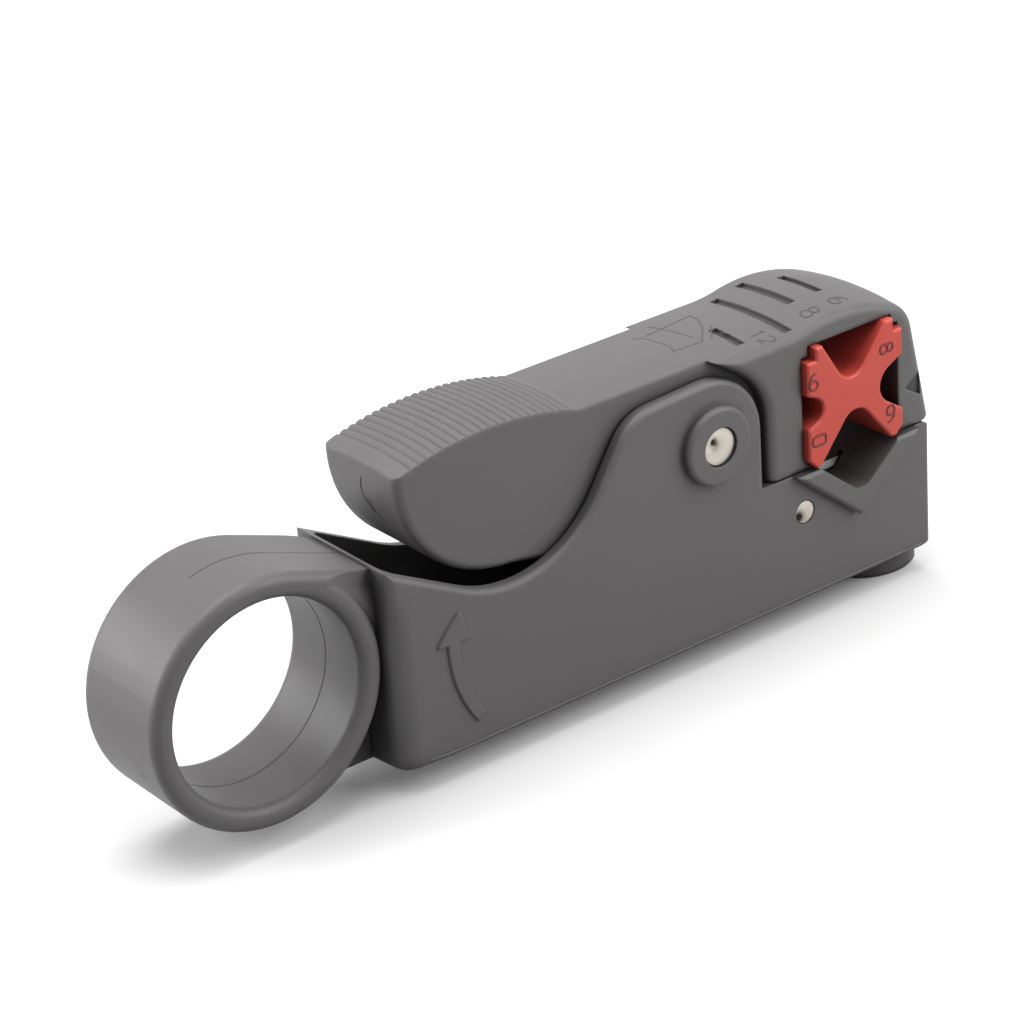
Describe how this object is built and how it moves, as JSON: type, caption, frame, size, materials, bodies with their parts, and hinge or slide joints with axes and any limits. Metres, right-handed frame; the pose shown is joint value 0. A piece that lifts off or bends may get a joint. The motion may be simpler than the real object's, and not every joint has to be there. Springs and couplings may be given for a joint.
{
  "type": "coaxial cable stripper",
  "caption": "Rotary coaxial cable stripper with a finger ring, a sprung thumb lever, a selector block for cable sizes and two screw-adjusted blades.",
  "frame": {"origin": "centre of the finger ring's bore, in the middle of its width", "axes": "+X runs from the finger ring to the jaw, +Y along the ring's bore across the tool, +Z from the body up to the lever"},
  "size_m": [0.1066, 0.0192, 0.0385],
  "materials": {
    "grey_plastic": "fine matte moulded grey",
    "red_plastic": "satin moulded red",
    "bright_steel": "turned, lightly worn",
    "plain_steel": "as machined",
    "blade_steel": "ground",
    "spring_steel": "drawn wire",
    "black_steel": "black oxide",
    "brass": "turned"
  },
  "bodies": {
    "frame": {"body": "grey_plastic", "pivot_pin": "bright_steel", "return_spring": "spring_steel", "blade_holder": "grey_plastic", "blade_pin": "bright_steel"},
    "lever": {"lever": "grey_plastic"},
    "selector": {"selector_block": "red_plastic"},
    "screw_near": {"adjust_screw_near": "black_steel"},
    "carrier_near": {"blade_carrier_near": "plain_steel", "blade_near": "blade_steel", "blade_dowel_near": "bright_steel", "pressure_pad_near": "brass"},
    "screw_far": {"adjust_screw_far": "black_steel"},
    "carrier_far": {"blade_carrier_far": "plain_steel", "blade_far": "blade_steel", "blade_dowel_far": "bright_steel", "pressure_pad_far": "brass"}
  },
  "joints": [
    {"name": "lever_pivot", "type": "hinge", "parent": "frame", "child": "lever", "pos_m": [0.0592, 0, 0.01], "axis": [0, -1, 0], "range_deg": [0, 11], "stiffness_Nm_per_rad": 0.2, "springref_deg": -22.92, "deforming": ["return_spring"]},
    {"name": "selector_slide", "type": "slide", "parent": "lever", "child": "selector", "axis": [0, -1, 0], "range_m": [0, 0.022]},
    {"name": "blade_tilt_near", "type": "hinge", "parent": "frame", "child": "carrier_near", "pos_m": [0.0723, -0.0032, -0.0029], "axis": [0, -1, 0], "range_deg": [0, 0.97]},
    {"name": "screw_turn_near", "type": "hinge", "parent": "frame", "child": "screw_near", "pos_m": [0.087, -0.0032, -0.0125], "axis": [0, 0, 1], "range_deg": [0, 180]},
    {"name": "blade_tilt_far", "type": "hinge", "parent": "frame", "child": "carrier_far", "pos_m": [0.0723, 0.0032, -0.0029], "axis": [0, -1, 0], "range_deg": [0, 0.97]},
    {"name": "screw_turn_far", "type": "hinge", "parent": "frame", "child": "screw_far", "pos_m": [0.087, 0.0032, -0.0125], "axis": [0, 0, 1], "range_deg": [0, 180]}
  ],
  "couplings": [
    {"joint": "screw_turn_near", "follows": "blade_tilt_near", "ratio": 184.73},
    {"joint": "screw_turn_far", "follows": "blade_tilt_far", "ratio": 184.73}
  ]
}
